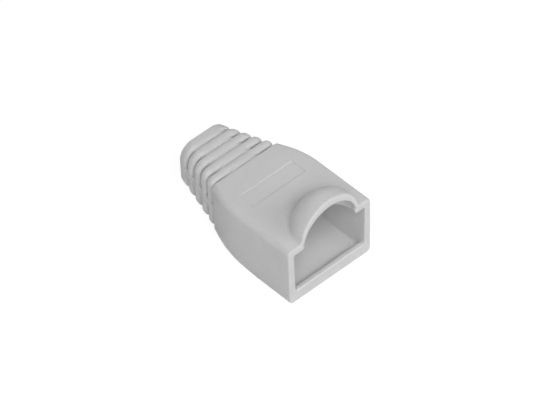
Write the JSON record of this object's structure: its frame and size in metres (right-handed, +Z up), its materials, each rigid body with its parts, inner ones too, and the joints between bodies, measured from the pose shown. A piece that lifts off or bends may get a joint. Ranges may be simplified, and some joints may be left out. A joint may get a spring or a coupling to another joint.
{
  "type": "network plug strain relief boot",
  "caption": "Hollow strain relief boot: square mouth for a modular network plug, domed hood over its latch, label recess, and a ribbed, tapering tail with a round cable bore.",
  "frame": {"origin": "middle of the boot's bounding box, on its flat bottom", "axes": "+Z up through the hood, +Y towards the tail where the cable leaves, the mouth faces -Y"},
  "size_m": [0.014, 0.0238, 0.0137],
  "materials": {
    "soft_pvc": "fine matte"
  },
  "bodies": {
    "root": {"boot": "soft_pvc"}
  },
  "joints": []
}
